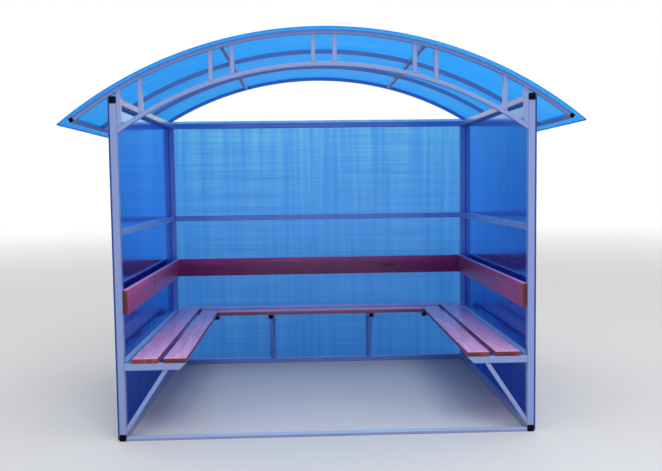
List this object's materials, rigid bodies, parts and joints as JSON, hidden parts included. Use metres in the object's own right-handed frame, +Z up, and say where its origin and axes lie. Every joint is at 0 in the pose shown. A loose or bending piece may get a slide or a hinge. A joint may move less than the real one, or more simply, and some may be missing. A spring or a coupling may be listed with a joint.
{
  "type": "smoking shelter",
  "caption": "Open-fronted smoking shelter of square steel tube with blue twin-wall sheet walls, a barrel roof and a slatted bench round three sides.",
  "frame": {"origin": "on the ground in the middle of the roof's footprint", "axes": "+X along the width, to the right seen from the open front; +Y from the front to the back; +Z up"},
  "size_m": [2.9812, 1.99, 2.3487],
  "materials": {
    "painted_tube": "satin grey enamel on steel tube",
    "twin_wall_sheet": "glossy translucent blue twin-wall polycarbonate",
    "varnished_board": "red-brown varnished softwood",
    "tube_plug": "black moulded polyethylene"
  },
  "bodies": {
    "root": {"front_post_left": "painted_tube", "front_post_right": "painted_tube", "rear_post_left": "painted_tube", "rear_post_right": "painted_tube", "bottom_rail_left": "painted_tube", "bottom_rail_right": "painted_tube", "bottom_rail_back": "painted_tube", "top_rail_left": "painted_tube", "top_rail_right": "painted_tube", "top_rail_back": "painted_tube", "mid_rail_left": "painted_tube", "mid_rail_right": "painted_tube", "mid_rail_back": "painted_tube", "seat_rail_left": "painted_tube", "seat_rail_right": "painted_tube", "seat_rail_back": "painted_tube", "front_sill": "painted_tube", "back_stub_posts": "painted_tube", "seat_bearers_front": "painted_tube", "seat_bearers_side": "painted_tube", "seat_bearers_back": "painted_tube", "seat_braces": "painted_tube", "truss_upper_chord": "painted_tube", "truss_lower_chord": "painted_tube", "truss_struts": "painted_tube", "roof_arch_second": "painted_tube", "roof_arch_third": "painted_tube", "roof_arch_rear": "painted_tube", "eave_tube_left": "painted_tube", "eave_tube_right": "painted_tube", "roof_purlins": "painted_tube", "roof_sheet": "twin_wall_sheet", "wall_sheet_left": "twin_wall_sheet", "wall_sheet_right": "twin_wall_sheet", "wall_sheet_back": "twin_wall_sheet", "seat_plank_outer_left": "varnished_board", "seat_plank_outer_right": "varnished_board", "seat_plank_inner_left": "varnished_board", "seat_plank_inner_right": "varnished_board", "seat_plank_outer_back": "varnished_board", "seat_plank_inner_back": "varnished_board", "backrest_left": "varnished_board", "backrest_right": "varnished_board", "backrest_back": "varnished_board", "tube_plugs": "tube_plug"}
  },
  "joints": []
}
